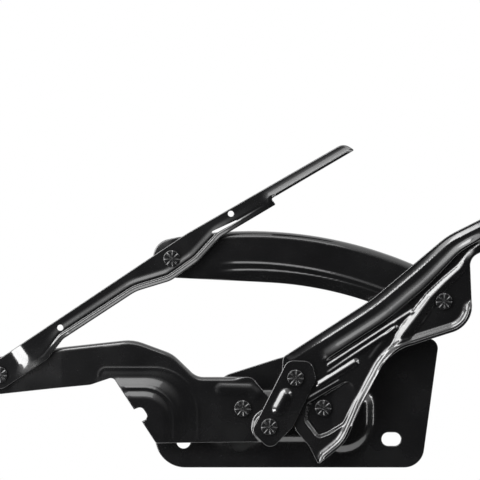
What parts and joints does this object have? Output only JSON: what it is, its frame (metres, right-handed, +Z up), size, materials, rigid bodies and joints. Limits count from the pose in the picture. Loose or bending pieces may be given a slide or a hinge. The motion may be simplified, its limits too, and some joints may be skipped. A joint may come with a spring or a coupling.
{
  "type": "car bonnet hinge",
  "caption": "Multi-link car bonnet hinge of black coated pressed steel: base plate, main lever, lift arm, coupling link, curved link and bonnet bracket turning on bushed rivets.",
  "frame": {"origin": "centre of the base plate's round bolt hole, on the plate's back face", "axes": "+X along the base plate towards its slotted hole, +Y out of the plate's back face into the car body, +Z up"},
  "size_m": [0.4216, 0.0421, 0.2589],
  "materials": {
    "coated_sheet": "gloss black dip coat on pressed steel",
    "coated_rivet": "black coat on a formed steel rivet",
    "bronze_bush": "plain sintered bronze"
  },
  "bodies": {
    "base": {"base_plate": "coated_sheet", "lever_rivet": "coated_rivet", "arm_rivet": "coated_rivet"},
    "lever": {"main_lever": "coated_sheet", "lever_bush": "bronze_bush", "heel_rivet": "coated_rivet"},
    "arm": {"lift_arm": "coated_sheet", "arm_bush": "bronze_bush", "tip_bush": "bronze_bush", "high_rivet": "coated_rivet"},
    "coupling": {"coupling_link": "coated_sheet", "high_bush": "bronze_bush", "low_rivet": "coated_rivet", "low_bush": "bronze_bush"},
    "link": {"curved_link": "coated_sheet", "tip_rivet": "coated_rivet"},
    "bracket": {"bonnet_bracket": "coated_sheet", "heel_bush": "bronze_bush", "bracket_rivet": "coated_rivet", "bracket_bush": "bronze_bush"}
  },
  "joints": [
    {"name": "lever_turn", "type": "hinge", "parent": "base", "child": "lever", "pos_m": [0.0474, -0.01, 0.0268], "axis": [0, -1, 0], "range_deg": [-34, 15]},
    {"name": "arm_turn", "type": "hinge", "parent": "base", "child": "arm", "pos_m": [0.1119, -0.01, 0.0272], "axis": [0, -1, 0], "range_deg": [-10, 22.5]},
    {"name": "bracket_turn", "type": "hinge", "parent": "lever", "child": "bracket", "pos_m": [-0.1475, -0.01, 0.0536], "axis": [0, -1, 0], "range_deg": [-23, 52]},
    {"name": "link_turn", "type": "hinge", "parent": "arm", "child": "link", "pos_m": [0.2085, -0.01, 0.1126], "axis": [0, -1, 0], "range_deg": [-54.6, 24.1]},
    {"name": "coupling_turn", "type": "hinge", "parent": "arm", "child": "coupling", "pos_m": [0.0897, -0.01, 0.0514], "axis": [0, -1, 0], "range_deg": [-24, 10.7]}
  ],
  "couplings": [
    {"joint": "arm_turn", "follows": "lever_turn", "ratio": -0.651},
    {"joint": "bracket_turn", "follows": "lever_turn", "ratio": -1.528},
    {"joint": "link_turn", "follows": "lever_turn", "ratio": 1.603},
    {"joint": "coupling_turn", "follows": "lever_turn", "ratio": 0.705}
  ]
}
